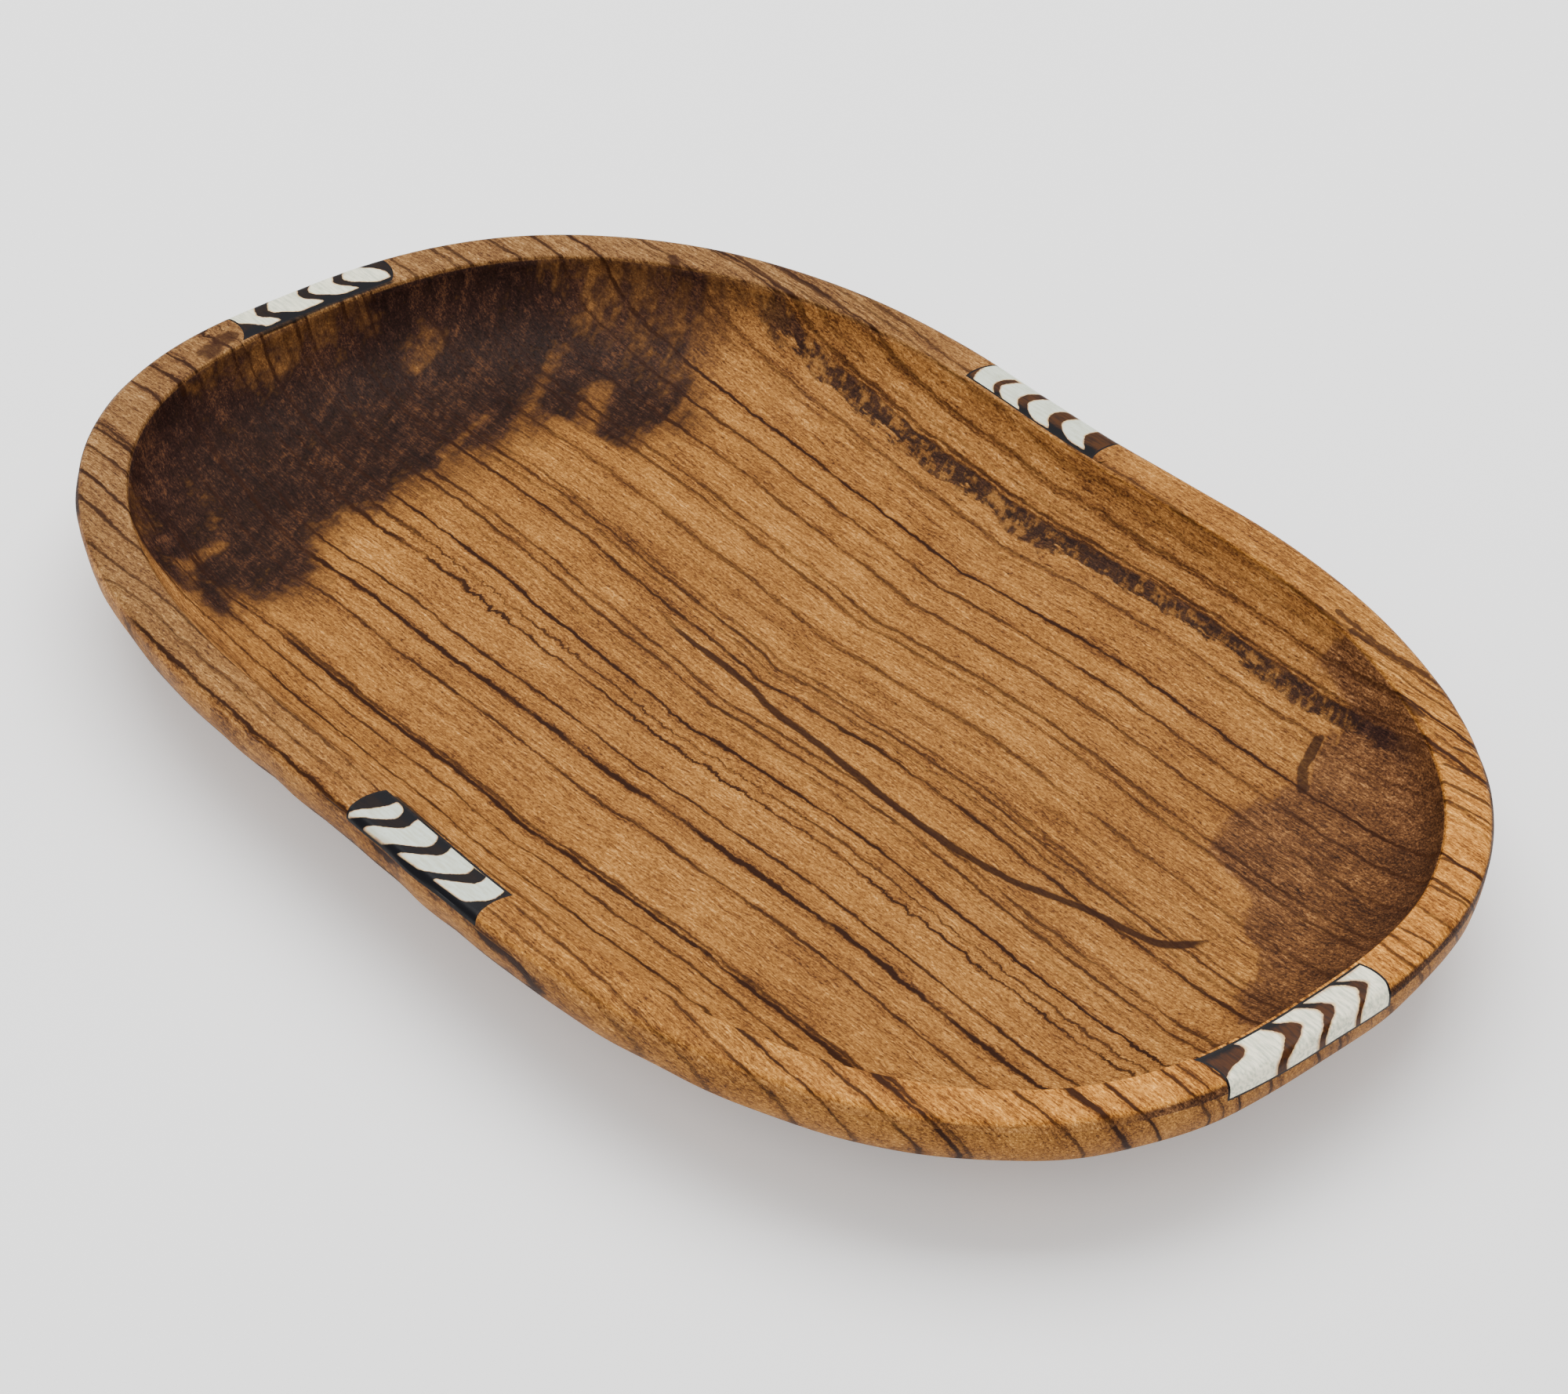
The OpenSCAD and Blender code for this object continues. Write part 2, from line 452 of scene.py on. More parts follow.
# Each slip's pattern, in millimetres. Across a slip, 0 is its inner edge, and the bow is how much
# that edge curves. The bars' offset and half width are drawn across the slip. A bar is (place along
# the slip, share of the width, where it starts and stops across). A dark end is (place, which way,
# edge). The margins are dark borders inside the first place across and outside the second; at 20
# there is none.
SLIPS = {
    "left": dict(
        inner=139.4, bow=0.0034, margins=(0.9, 10.2),
        offset=[(0, 0.6), (2.5, -1.4), (5, -3.7), (7.5, -3.1), (10.6, 0.4)],
        half=[(0, 2.2), (2.5, 1.5), (5, 1.15), (7.5, 1.3), (10.6, 1.9)],
        bars=[(13.4, 0.95, None, 8.6), (5.0, 1.05, None, None), (-5.6, 1.15, None, None)],
        ends=[(17.8, 1, [(0, 0.4), (3, 1.4), (6, 0.2), (8, -1.6), (10.6, -2.6)]),
              (-13.4, -1, [(0, 1.6), (3, 0.6), (5.5, -1.6), (8, -3.2), (10.6, -4.2)])],
        ink=srgb(14, 14, 18), stain=srgb(30, 20, 16), fringe=0.5, pale=srgb(232, 229, 203)),
    "right": dict(
        inner=141.8, bow=0.0034, margins=(0.55, 20),
        offset=[(0, -4.4), (1.5, -2.3), (3, -0.6), (4.3, 0.0), (5.6, -1.0), (8.2, -5.2)],
        half=[(0, 0.8), (1.5, 0.95), (3, 1.3), (4.3, 1.5), (5.6, 1.3), (8.2, 0.7)],
        bars=[(9.0, 0.75, None, None), (0.6, 0.95, None, None), (-7.6, 1.4, None, None)],
        ends=[(-17.3, -1, [(0, -3.0), (1.5, -0.2), (3, 0.6), (4.5, -0.8), (6, -4.5), (8.2, -8)])],
        ink=srgb(18, 14, 16), stain=srgb(68, 38, 17), fringe=0.9, pale=srgb(250, 243, 216)),
    "front": dict(
        inner=83.05, bow=0.0008, margins=(0.5, 8.8),
        offset=[(0, 0.6), (2, 2.4), (3.8, 2.6), (5.6, 1.0), (7.6, -1.6), (9.6, -4.6)],
        half=[(0, 2.1), (2, 1.7), (3.8, 1.6), (5.6, 1.6), (7.6, 1.5), (9.6, 1.6)],
        bars=[(6.0, 1.0, None, None), (16.0, 1.0, None, None), (26.0, 0.95, 1.7, None)],
        ends=[(2.4, -1, [(0, 0.8), (3, 0.6), (6, -1.0), (9.6, -3.6)]),
              (34.6, 1, [(0, -1.4), (1.5, 0.0), (4, 0.8), (7, -0.6), (9.6, -3.2)])],
        ink=srgb(14, 14, 18), stain=srgb(26, 18, 16), fringe=0.35, pale=srgb(205, 213, 200)),
    "back": dict(
        inner=83.05, bow=0.0008, margins=(0.8, 20),
        offset=[(0, 6.0), (1.5, 3.4), (3, 1.2), (5, 0), (7, 0.7), (9.4, 2.6)],
        half=[(0, 2.2), (2, 1.7), (4, 1.3), (6, 1.3), (9.4, 1.2)],
        bars=[(-27.4, 0.62, 1.7, 8.4), (-20.0, 0.95, None, None), (-10.9, 1.3, None, None)],
        ends=[(-31.7, -1, [(0, 2.2), (1.5, 0.7), (3, -0.8), (5, -1.8), (9.4, -2.6)]),
              (-2.4, 1, [(0, 4.6), (1.5, 2.6), (3, 1.0), (5, -0.4), (7, 0), (9.4, 0.8)])],
        ink=srgb(14, 13, 16), stain=srgb(66, 39, 19), fringe=0.5, pale=srgb(208, 214, 197)),
}


def slip_place(g, side, x, y):
    """The place along a slip and across it, from its inner edge outwards."""
    along, across = (y, x) if side in ("left", "right") else (x, y)
    if side in ("left", "front"):
        across = g.times(across, -1.0)
    spec = SLIPS[side]
    return along, across, g.math("MULTIPLY_ADD", g.times(along, along), spec["bow"],
                                 g.minus(across, spec["inner"]))


def bone_material(side):
    spec = SLIPS[side]
    g = Graph("dyed_bone_" + side)
    x, y, z = g.place()
    along, across, out = slip_place(g, side, x, y)
    wobble = g.noise(g.vector(g.times(x, 0.35), g.times(y, 0.35), 1.0), detail=3.0)
    ragged = g.noise(g.vector(g.times(x, 2.2), g.times(y, 2.2), 4.0), detail=3.0)
    shake = g.total(g.around(wobble, 1.3), g.around(ragged, 0.3))
    u = g.total(g.minus(along, g.curve(out, 0, 10.6, spec["offset"], -8, 8)), shake)
    half = g.curve(out, 0, 10.6, spec["half"], 0, 3)

    # How far each place is from the dyed parts, rounded where two of them meet
    clear = g.math("SMOOTH_MIN", g.total(out, -spec["margins"][0], g.times(shake, 0.5)),
                   g.minus(spec["margins"][1], out), 1.0)
    borders = clear
    for place, share, start, stop in spec["bars"]:
        gap = g.minus(g.math("ABSOLUTE", g.minus(u, place)), g.times(half, share))
        for limit, way in ((start, -1.0), (stop, 1.0)):
            if limit is not None:
                gap = g.math("MAXIMUM", gap, g.times(g.minus(out, limit), way * 0.8))
        clear = g.math("SMOOTH_MIN", clear, gap, 1.5)
    for place, way, edge in spec["ends"]:
        past = g.times(g.minus(g.total(along, shake),
                               g.total(place, g.curve(out, 0, 10.6, edge, -8, 8))), -way)
        clear = g.math("SMOOTH_MIN", clear, past, 1.5)
    dark = g.step(clear, 0.12, -0.12)
    fringe = g.step(clear, spec["fringe"], 0.05)

    coarse, long = (across, along) if side in ("front", "back") else (along, across)
    streaks = g.noise(g.vector(g.times(coarse, 1.6), g.times(long, 0.25), g.times(z, 1.6)), detail=4.0)
    speck = g.noise(g.vector(g.times(x, 1.1), g.times(y, 1.1), g.times(z, 1.1)), detail=4.0)
    bone = g.mix(g.step(streaks, 0.35, 0.7), spec["pale"], (0.52, 0.54, 0.42, 1))
    bone = g.mix(g.times(g.step(speck, 0.54, 0.74), 0.25), bone, srgb(160, 160, 120))
    amber = g.mix(g.step(speck, 0.4, 0.6), srgb(170, 104, 36), srgb(204, 162, 88))
    bone = g.mix(g.times(fringe, 0.72), bone, amber)
    stained = g.step(g.total(borders, g.around(speck, 1.8)), 1.2, 2.8)
    dye = g.mix(g.times(stained, g.step(streaks, 0.35, 0.6, 0.45, 1.0)), spec["ink"], spec["stain"])
    g.put(g.shader.inputs["Base Color"], g.mix(dark, bone, dye))
    g.put(g.shader.inputs["Roughness"], g.total(0.2, g.times(streaks, 0.12), g.times(dark, 0.08)))
    g.shader.inputs["Specular IOR Level"].default_value = 0.07
    g.bump(g.total(g.times(streaks, 0.4), g.times(speck, 0.3), g.times(dark, -0.3)), 0.06, 0.4)
    return g.material


# Paler strokes through the left heartwood: (start, end, half width, soft edge, strength)
PALE_STROKES = [
    ((-84, 56), (-78.5, 42), 0.8, 1.6, 0.9), ((-97, 40), (-88, 28), 3.0, 3.0, 1.6),
    ((-112, 42), (-100, 21), 1.6, 2.4, 0.95), ((-105.5, 17), (-100.5, 2), 0.9, 1.4, 1.2),
    ((-97, 6), (-94, -11), 2.6, 3.0, 0.85), ((-129, 21), (-126, 14), 2.4, 2.8, 1.1),
    ((-138, 8), (-137, -34), 4.0, 4.0, 0.95), ((-128, 56), (-90, 66), 7.0, 7.0, 0.95),
    ((-99.5, -52), (-94.5, -64), 1.2, 1.5, 1.4), ((-93, -64), (-84, -68), 2.4, 2.4, 0.9),
    ((-112, -64), (-99, -69), 2.0, 3.0, 0.85), ((-117, -46), (-100, -50), 1.5, 3.5, 0.5),
    ((-114, 50), (-92, 53), 2.5, 5.0, 0.6), ((-91, 60), (-86, 46), 1.0, 3.0, 0.55),
    ((-134, 44), (-120, 60), 3.0, 5.0, 0.5),
]
# Dark streaks on the rim: (start, end, half width, soft edge)
RIM_STREAKS = [
    ((70, 82.6), (84, 80.6), 0.5, 0.8), ((76, 80.2), (99, 80.6), 0.7, 1.0),
    ((90, 73.4), (102, 70.8), 0.5, 1.0), ((-104, 79.4), (-72, 77.4), 0.3, 0.7),
    ((-108, 68.4), (-104, 66.6), 0.7, 1.2), ((114, 63.4), (123, 65.8), 0.3, 0.5),
    ((117, 59.6), (127, 61.2), 0.3, 0.5), ((120, 56.2), (131, 57.4), 0.2, 0.4),
    ((131, 43.7), (140, 45.6), 0.25, 0.5), ((135, 36.8), (144, 38.0), 0.25, 0.45),
    ((139, 24.6), (148, 26.0), 0.2, 0.4), ((112, 68.4), (119, 70.0), 0.2, 0.4),
    ((-142, -20), (-139, -27), 1.4, 2.4), ((134, -24), (142, -22), 0.2, 0.5),
]


def wood_grain(g, x, y, z):
    """The wandering place across the dish that the grain follows, and a fine jag of it."""
    lean = g.step_linear(x, -80.0, 120.0)
    upper = g.curve(x, -150, 150, [
        (-150, 1.0), (-120, 1.2), (-90, 2.2), (-62, 2.1), (-45, 0.8), (-30, 0.0), (-12, -1.0),
        (-1, -2.2), (10, -0.9), (20, -0.2), (32, 0.7), (45, 1.0), (60, 0.4), (80, -0.7),
        (100, -1.3), (120, -1.6), (150, -2.0)], -6, 6, sharp=(-1,))
    lower = g.curve(x, -150, 150, [
        (-150, -2.0), (-120, 0.2), (-90, -1.6), (-70, -0.2), (-45, -0.2), (-30, 0.0), (-10, 0.4),
        (5, 0.2), (20, 1.4), (35, 1.9), (50, 2.7), (75, 2.9), (100, 1.8), (125, 1.5),
        (150, 1.5)], -6, 6)
    side = g.step(y, -34.0, -8.0)
    warp = g.total(lower, g.times(g.minus(upper, lower), side))
    calm = g.step(g.math("ABSOLUTE", y), 60.0, 84.0, 1.0, 0.55)
    slow = g.noise(g.vector(g.times(x, 0.03), g.times(y, 0.05), 3.0), detail=2.0)
    jag = g.noise(g.vector(g.times(x, 0.16), g.times(y, 0.22), g.times(z, 0.1)), detail=5.0,
                  roughness=0.62)
    # Some lines are crinkled
    crinkle = g.noise(g.vector(g.times(x, 0.26), g.times(y, 0.1), 8.0), detail=4.0, roughness=0.7)
    crinkled = g.total(
        g.step(g.math("ABSOLUTE", g.total(y, 20.5)), 5.0, 2.5, 0.0, 3.2),
        g.step(g.math("ABSOLUTE", g.total(y, 35.5)), 3.0, 1.0, 0.0, 1.3),
        0.35)
    crinkled = g.times(crinkled, g.step(slow, 0.36, 0.6, 0.3, 1.5))
    wander = g.total(g.around(slow, 1.6), g.around(jag, 2.0), g.times(g.around(crinkle, 1.0), crinkled))
    tilt = g.times(g.times(lean, 0.55), g.minus(z, 9.5))
    return g.total(g.minus(y, g.times(warp, calm)), tilt, wander), jag


def wood_lines(g, x, v):
    """The dark grain lines and the browner wood beside them."""
    thick = g.noise(g.vector(g.times(x, 0.06), g.times(v, 0.25), 7.0), detail=4.0, roughness=0.65)
    swell = g.step(thick, 0.3, 0.7, 0.6, 1.4)
    strength = g.step(thick, 0.25, 0.55, 0.55, 1.15)
    lines = 0.0
    halo = 0.0
    for place, half, dark in GRAIN_LINES:
        away = g.math("DIVIDE", g.math("ABSOLUTE", g.minus(v, place)), swell)
        lines = g.total(lines, g.step(away, half * 1.2, half * 0.4, 0.0, min(1.0, dark * 1.05 + 0.05)))
        if dark > 0.4:
            halo = g.total(halo, g.step(away, half * 3.6, half * 0.9, 0.0, dark * 0.5))
    return g.times(lines, strength, clamp=True), halo


def wood_crossing(g, x, y, jag):
    """The thick line that crosses the others."""
    path = g.curve(x, -40, 115, [
        (-40, 3.2), (-32, 2.2), (-22, 0.6), (-10, 0.2), (0, -0.4), (8, -1.8), (20, -2.1),
        (35, -3.0), (48, -3.5), (62, -3.2), (70, -2.3), (78, -0.4), (86, 2.3), (95, 4.2),
        (101, 5.4), (105, 8.2), (109, 13.5), (115, 20.0)], -6, 22)
    away = g.math("ABSOLUTE", g.total(g.minus(y, path), g.around(jag, 1.3)))
    ends = g.times(g.step(x, -36.0, -20.0), g.step(x, 109.0, 106.5))
    width = g.times(g.step(x, -30.0, 10.0, 0.6, 0.85), g.step(x, 99.0, 106.0, 1.0, 2.1))
    return g.times(g.step(g.math("DIVIDE", away, width), 1.3, 0.7), ends)


def facing_up(g):
    """1 where the surface faces up, as in the hollow, and 0 on the outside and the base."""
    split = g.add("SeparateXYZ")
    g.put(split.inputs[0], g.add("NewGeometry").outputs["True Normal"])
    return g.step(split.outputs[2], 0.0, 0.12)


def wood_noises(g, x, y, z, v):
    """Fibres along the grain, pores, speckle, slow changes of tone, and the heartwood's blots."""
    n = SimpleNamespace()
    n.fibre = g.noise(g.vector(g.times(x, 0.07), g.times(v, 1.5), g.times(z, 0.5)), detail=7.0,
                      roughness=0.75)
    n.hair = g.noise(g.vector(g.times(x, 0.3), g.times(v, 3.4), g.times(z, 2.0)), detail=4.0,
                     roughness=0.75)
    n.fine = g.noise(g.vector(g.times(x, 1.3), g.times(y, 2.4), g.times(z, 2.4)), detail=4.0,
                     roughness=0.75)
    pore = g.noise(g.vector(g.times(x, 0.45), g.times(y, 3.6), g.times(z, 3.6)), detail=2.0,
                   roughness=0.6)
    n.pores = g.step(pore, 0.41, 0.30)
    n.cloud = g.noise(g.vector(g.times(x, 0.018), g.times(y, 0.05), 1.0), detail=4.0, roughness=0.6)
    n.smoke = g.noise(g.vector(g.times(x, 0.05), g.times(y, 0.16), 5.0), detail=5.0, roughness=0.7)
    n.grit = g.total(g.around(n.fibre, 0.8), g.around(n.hair, 1.0), g.around(n.fine, 1.3))
    n.streak = g.noise(g.vector(g.times(g.total(x, g.times(y, 0.6)), 0.34), g.times(y, 0.07),
                                g.times(z, 0.07)), detail=5.0, roughness=0.66)
    n.blot = g.noise(g.vector(g.times(x, 0.42), g.times(y, 0.34), g.times(z, 0.3)), detail=4.0,
                     roughness=0.66)
    n.drift = g.noise(g.vector(g.times(x, 0.09), g.times(y, 0.09), 4.0), detail=3.0)
    n.spatter = g.total(g.around(n.blot, 2.8), g.around(n.streak, 2.6), g.times(n.grit, 0.9))
    return n


def faint_lines(g, x, y, z, v):
    """Faint lines between the dark ones."""
    faint = g.noise(g.vector(g.times(x, 0.006), g.times(v, 0.5), g.times(z, 0.02)), detail=4.0,
                    roughness=0.72)
    faint = g.step(g.math("ABSOLUTE", g.minus(faint, 0.5)), 0.026, 0.0)
    faint_where = g.noise(g.vector(g.times(x, 0.02), g.times(y, 0.06), 11.0), detail=2.0)
    return g.times(faint, g.step(faint_where, 0.38, 0.6, 0.25, 1.0))


def left_heartwood(g, n, x, y):
    """Where the dark heartwood at the left end and its brown stain lie. Its edge breaks up into
    blots and strokes: past it a few blots are left, and then none."""
    edge = g.curve(y, -80, 80, [
        (-80, -108), (-72, -96), (-68, -79), (-65, -76), (-60, -82), (-55, -78.5), (-50, -77.5),
        (-46, -78.5), (-41, -81), (-38, -87), (-34, -91), (-30, -92.5), (-25, -93.5), (-20, -92),
        (-14, -92), (-8, -94), (-4, -93), (0, -91), (5, -92), (10, -94), (16, -95), (22, -95),
        (27, -95), (29.5, -87), (31.5, -78), (36, -77), (41, -77), (43.5, -74), (47, -75),
        (50, -76.5), (55, -81), (60, -88), (66, -89), (70, -90), (80, -96)], -150, -30)
    inside = g.total(g.minus(edge, x), g.around(n.drift, 7.0))
    cover = g.math("MAXIMUM", g.math("MINIMUM", g.times(inside, 0.19), 1.45), -0.15)
    cover = g.minus(cover, g.step(inside, -5.0, -10.0))
    pale = 0.0
    for start, end, half, soft, strength in PALE_STROKES:
        pale = g.total(pale, g.stroke(x, y, start, end, half, soft, strength))
    cover = g.minus(cover, pale)
    return g.step_linear(g.total(cover, n.spatter), 0.0, 1.0), g.step(inside, -7.0, 4.0)


def right_heartwood(g, n, x, y):
    """Where the browner heartwood at the right end and the dark knot beside it lie."""
    edge = g.curve(y, -40, 90, [
        (-40, 141), (-30, 137), (-20, 134), (-10, 131), (-3, 128), (2, 124), (5, 120), (10, 118.5),
        (14, 116.5), (17.5, 112), (20, 106), (24, 103), (27, 100), (29, 94), (31, 88), (35, 85),
        (40, 83.5), (45, 83.5), (50, 85), (56, 87), (62, 84), (66, 83.5), (70, 84), (73, 78),
        (76, 71), (80, 72), (84, 82), (90, 95)], 60, 150)
    beyond = g.total(g.minus(x, edge), g.around(n.drift, 4.0))
    dark = g.step(g.total(g.math("MINIMUM", g.times(beyond, 0.22), 1.6), g.times(n.spatter, 0.8)),
                  0.1, 0.9)
    knot = g.math("MAXIMUM", g.stroke(x, y, (84, 64.5), (86.3, 58.5), 1.0, 0.9),
                  g.stroke(x, y, (86.3, 58.5), (90.3, 54), 1.0, 0.9))
    return dark, g.step(g.total(knot, g.times(n.spatter, 0.45)), 0.35, 0.65)


def far_streak(g, n, x, v):
    """The mottled streak along the far side, under a sharp double line."""
    clump = g.noise(g.vector(g.times(x, 0.07), g.times(v, 0.3), 2.0), detail=5.0, roughness=0.7)
    low = g.total(g.minus(v, 71.2), g.around(clump, 15.0))
    band = g.times(g.step(v, 76.0, 75.4), g.step(low, -0.6, 0.8))
    holes = g.total(g.around(clump, -2.2), g.times(n.spatter, 0.7))
    band = g.times(band, g.step(holes, -0.42, 0.1, 0.25, 1.0))
    return g.times(band, g.times(g.step(x, -108.0, -75.0), g.step(x, 112.0, 96.0)))


def rim_colour(g, n, x, y, z, colour, lines):
    """The rim: browner at the left with a painted grey highlight, orange at the right, with dark streaks of
    its own.
    """
    on_rim = g.step(z, 25.9, 26.6)
    # At the left the rim is browner, which is the wood's own tone, and greyer, which is a painted highlight
    tint = g.mix(g.step(x, 40.0, -90.0), (1.12, 1.1, 1.0, 1), (0.76, 0.87, 1.3, 1))
    tint = g.mix(g.step(x, 80.0, 142.0), tint, (1.75, 1.65, 1.2, 1))
    colour = g.mix(on_rim, colour, tint, blend="MULTIPLY")
    colour = g.mix(g.times(g.times(lines, on_rim), 0.5), colour, srgb(52, 28, 12))
    streaks = 0.0
    for start, end, half, soft in RIM_STREAKS:
        streaks = g.math("MAXIMUM", streaks, g.stroke(x, y, start, end, half, soft))
    streaks = g.step(g.total(streaks, g.times(n.spatter, 0.55)), 0.35, 0.75)
    return g.mix(g.times(g.times(streaks, on_rim), 0.85), colour, srgb(50, 26, 12))


def dyed_lip(g, x, y, z, colour):
    """The thin lip of wood beside the left and the front slip is soaked with dye."""
    for side in ("left", "front"):
        along, _, out = slip_place(g, side, x, y)
        away = g.math("ABSOLUTE", g.minus(along, SLIP_MIDDLE[side]))
        beside = g.times(g.step(g.math("ABSOLUTE", g.total(out, 0.4)), 1.0, 0.6),
                         g.step(away, 16.5, 15.5))
        colour = g.mix(g.times(g.times(beside, g.step(z, 26.3, 26.6)), 0.9), colour, srgb(16, 13, 14))
    return colour


def wood_material():
    g = Graph("figured_wood")
    x, y, z = g.place()
    v, jag = wood_grain(g, x, y, z)
    n = wood_noises(g, x, y, z, v)
    lines, halo = wood_lines(g, x, v)
    cross_line = wood_crossing(g, x, y, jag)
    faint = faint_lines(g, x, y, z, v)
    tone = g.total(0.54, g.around(n.cloud, 0.45), g.around(n.smoke, 0.6), g.times(n.grit, 1.3),
                   g.times(faint, -0.19), g.times(halo, -0.32), g.times(n.pores, -0.2))
    colour = g.ramp(tone, [
        (0.0, srgb(56, 31, 13)), (0.22, srgb(90, 54, 25)), (0.42, srgb(121, 78, 35)),
        (0.6, srgb(145, 98, 46)), (0.8, srgb(172, 120, 58)), (1.0, srgb(204, 152, 86))])

    # The heartwood shows in the hollow only, below the rim
    dark_left, stain_left = left_heartwood(g, n, x, y)
    dark_right, knot = right_heartwood(g, n, x, y)
    under = g.times(g.step(z, 26.5, 26.0), facing_up(g))
    heart = g.times(g.math("MAXIMUM", dark_left, far_streak(g, n, x, v)), under)
    umber = g.ramp(g.total(0.5, g.times(n.grit, 1.1), g.around(n.smoke, 0.8), g.times(lines, -0.5)), [
        (0.0, srgb(40, 21, 10)), (0.4, srgb(72, 43, 20)), (0.7, srgb(102, 66, 32)),
        (1.0, srgb(140, 92, 44))])
    colour = g.mix(g.times(g.times(stain_left, under), 0.84), colour, umber)
    # Painted shade: the brown heartwood at the right is darkened on the right inner wall, near the rim,
    # where shade falls
    shaded_right_wall = g.step(g.total(x, g.times(y, 0.35)), 126.0, 144.0)
    cocoa = g.ramp(g.total(0.5, g.around(n.blot, 0.5), g.times(n.grit, 1.5),
                           g.times(shaded_right_wall, -0.3), g.around(n.smoke, 1.0)), [
        (0.0, srgb(32, 16, 9)), (0.3, srgb(62, 36, 19)), (0.55, srgb(88, 55, 30)),
        (0.8, srgb(120, 80, 45)), (1.0, srgb(160, 112, 64))])
    colour = g.mix(g.times(g.times(dark_right, under), 0.95), colour, cocoa)
    colour = g.mix(g.times(g.times(knot, under), 0.85), colour, srgb(40, 20, 10))
    bark = g.ramp(g.total(0.45, g.around(n.streak, 1.5), g.around(n.blot, 1.0), g.times(n.grit, 1.3),
                          g.around(n.smoke, 0.8)), [
        (0.0, srgb(16, 7, 5)), (0.4, srgb(31, 16, 12)), (0.65, srgb(46, 27, 19)),
        (1.0, srgb(84, 52, 30))])
    colour = g.mix(g.times(heart, 0.97), colour, bark)

    # Lines show on top of everything, weaker on the heartwood. The steep wall is paler: painted light on
    # the wall.
    lit_steep_wall = g.times(g.step(z, 12.0, 20.0), under)
    weaker = g.minus(1.0, g.total(g.times(heart, 0.45), g.times(lit_steep_wall, 0.35)))
    colour = g.mix(g.times(lines, weaker), colour, srgb(40, 17, 4))
    colour = g.mix(g.times(g.times(cross_line, under), 0.94), colour, srgb(42, 19, 7))
    # Painted light: the steep wall of the hollow is made paler and greyer
    colour = g.mix(lit_steep_wall, colour, (1.14, 1.18, 1.4, 1), blend="MULTIPLY")
    colour = rim_colour(g, n, x, y, z, colour, g.total(lines, g.times(faint, 0.6)))
    g.put(g.shader.inputs["Base Color"], dyed_lip(g, x, y, z, colour))

    worn = g.noise(g.vector(g.times(x, 0.05), g.times(y, 0.05), g.times(z, 0.05)), detail=4.0)
    roughness = g.total(0.36, g.times(n.fibre, 0.18), g.times(g.step(worn, 0.3, 0.7), 0.12))
    g.put(g.shader.inputs["Roughness"], roughness)
    g.shader.inputs["Specular IOR Level"].default_value = 0.05
    height = g.total(g.times(n.fibre, 0.5), g.times(n.hair, 0.3), g.times(n.pores, -0.6),
                     g.times(lines, -0.35), g.times(n.fine, 0.3))
    g.bump(height, 0.16, 0.6)
    return g.material


def resin_material():
    g = Graph("black_resin")
    x, y, z = g.place()
    grit = g.noise(g.vector(g.times(x, 1.5), g.times(y, 1.5), g.times(z, 1.5)), detail=4.0)
    g.put(g.shader.inputs["Base Color"], g.mix(g.step(grit, 0.35, 0.7), srgb(12, 11, 14), srgb(28, 22, 22)))
    g.put(g.shader.inputs["Roughness"], g.total(0.22, g.times(grit, 0.25)))
    g.shader.inputs["Specular IOR Level"].default_value = 0.08
    g.bump(grit, 0.05, 0.4)
    return g.material


dish.data.materials.clear()
dish.data.materials.append(wood_material())
resin = resin_material()
for side in POCKET_DEPTH:
    slips[side].data.materials.clear()
    slips[side].data.materials.append(bone_material(side))
    beds[side].data.materials.clear()
    beds[side].data.materials.append(resin)

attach(dish, "root")
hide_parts("bowl")
for side in POCKET_DEPTH:
    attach(slips[side], "root")
    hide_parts("bone_slip_" + side)
    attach(beds[side], "root")
    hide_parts("resin_bed_" + side)

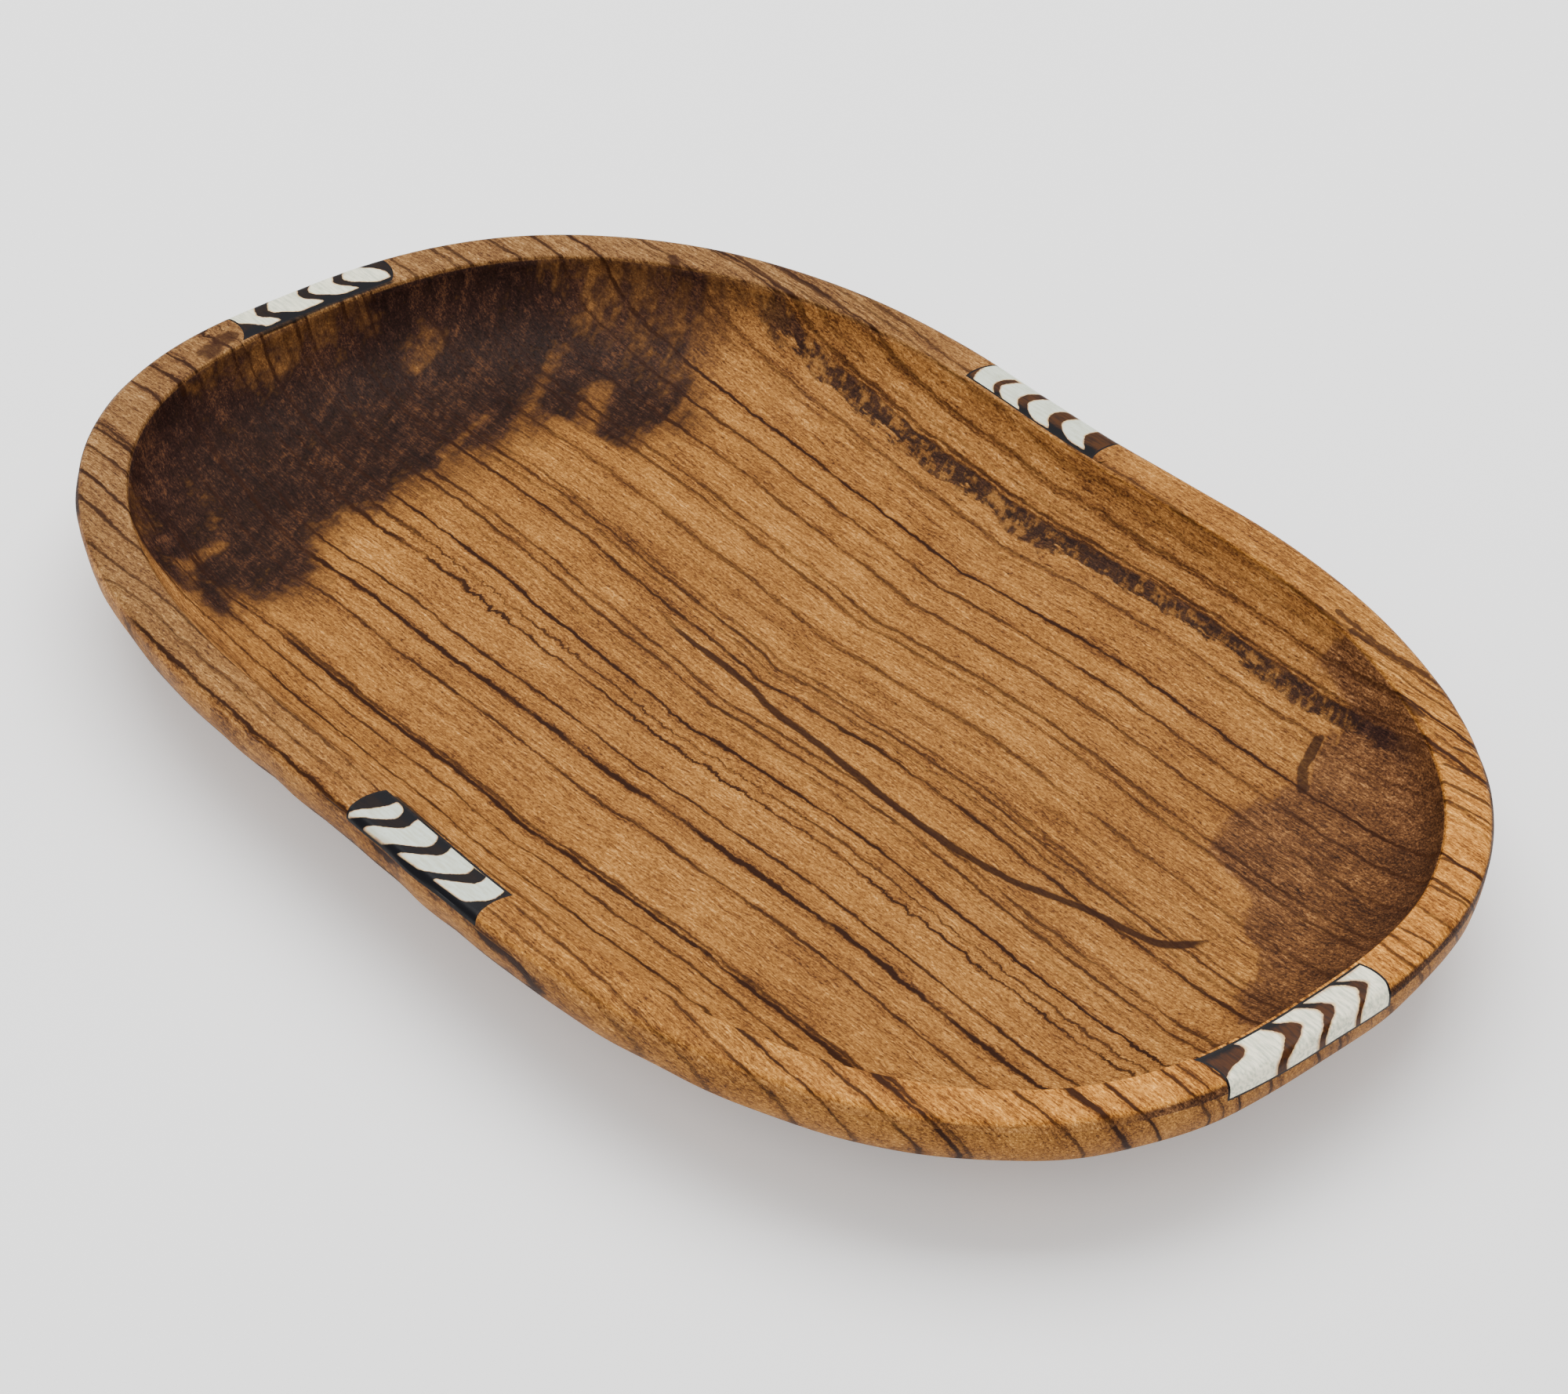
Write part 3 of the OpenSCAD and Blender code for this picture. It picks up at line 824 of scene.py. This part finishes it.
# ---------------------------------------------------------------------------------------------
# Floor, lights and camera
# ---------------------------------------------------------------------------------------------
floor_mesh = bpy.data.meshes.new("floor")
floor_mesh.from_pydata([(-4, -4, 0), (4, -4, 0), (4, 4, 0), (-4, 4, 0)], [], [(0, 1, 2, 3)])
floor = bpy.data.objects.new("floor", floor_mesh)
bpy.context.scene.collection.objects.link(floor)
ground = Graph("pale_floor")
ground.shader.inputs["Base Color"].default_value = (0.86, 0.86, 0.86, 1)
ground.shader.inputs["Roughness"].default_value = 0.9
ground.shader.inputs["Specular IOR Level"].default_value = 0.1
ground.shader.inputs["Emission Color"].default_value = (1, 1, 1, 1)
ground.shader.inputs["Emission Strength"].default_value = 0.3
floor.data.materials.append(ground.material)


def area_light(name, place, aim, width, height, power):
    data = bpy.data.lights.new(name, "AREA")
    data.shape = "RECTANGLE"
    data.size = width
    data.size_y = height
    data.energy = power
    lamp = bpy.data.objects.new(name, data)
    bpy.context.scene.collection.objects.link(lamp)
    lamp.location = place
    lamp.rotation_euler = (Vector(aim) - Vector(place)).to_track_quat("-Z", "Y").to_euler()


# The camera stands at this azimuth and elevation. Its distance and how far it is moved to the right
# and down are in millimetres, from the middle of the rim's plane.
AZIMUTH, ELEVATION = 49.7, 37.05
DISTANCE, MOVED_RIGHT, MOVED_DOWN = 772.3, 5.9, 15.95
LENS, SENSOR = 95.85, 36
azimuth, elevation = math.radians(AZIMUTH), math.radians(ELEVATION)
back = Vector((math.sin(azimuth) * math.cos(elevation),
               -math.cos(azimuth) * math.cos(elevation), math.sin(elevation)))
right = Vector((math.cos(azimuth), math.sin(azimuth), 0))
up = back.cross(right)

# A broad soft box above and behind the dish, and a weak fill from the camera's side
behind = Vector((-back.x, -back.y, 0)).normalized()
area_light("soft_box", behind * 0.35 + Vector((0, 0, 1.1)), (0, 0, 0.01), 1.3, 1.0, 24)
area_light("fill", back * 1.4 + right * -0.5 + Vector((0, 0, 0.5)), (0, 0, 0.01), 0.9, 0.9, 4.5)
world = bpy.data.worlds.new("studio")
bpy.context.scene.world = world
world.use_nodes = True
world.node_tree.nodes["Background"].inputs["Color"].default_value = (1, 1, 1, 1)
world.node_tree.nodes["Background"].inputs["Strength"].default_value = 0.8

camera_data = bpy.data.cameras.new("camera")
camera = bpy.data.objects.new("camera", camera_data)
bpy.context.scene.collection.objects.link(camera)
camera_data.sensor_fit = "HORIZONTAL"
camera_data.sensor_width = SENSOR
camera_data.lens = LENS
place = Vector((0, 0, HEIGHT)) + back * DISTANCE + right * MOVED_RIGHT - up * MOVED_DOWN
camera.matrix_world = Matrix.Translation(place * MM) @ Matrix((right, up, back)).transposed().to_4x4()
bpy.context.scene.camera = camera
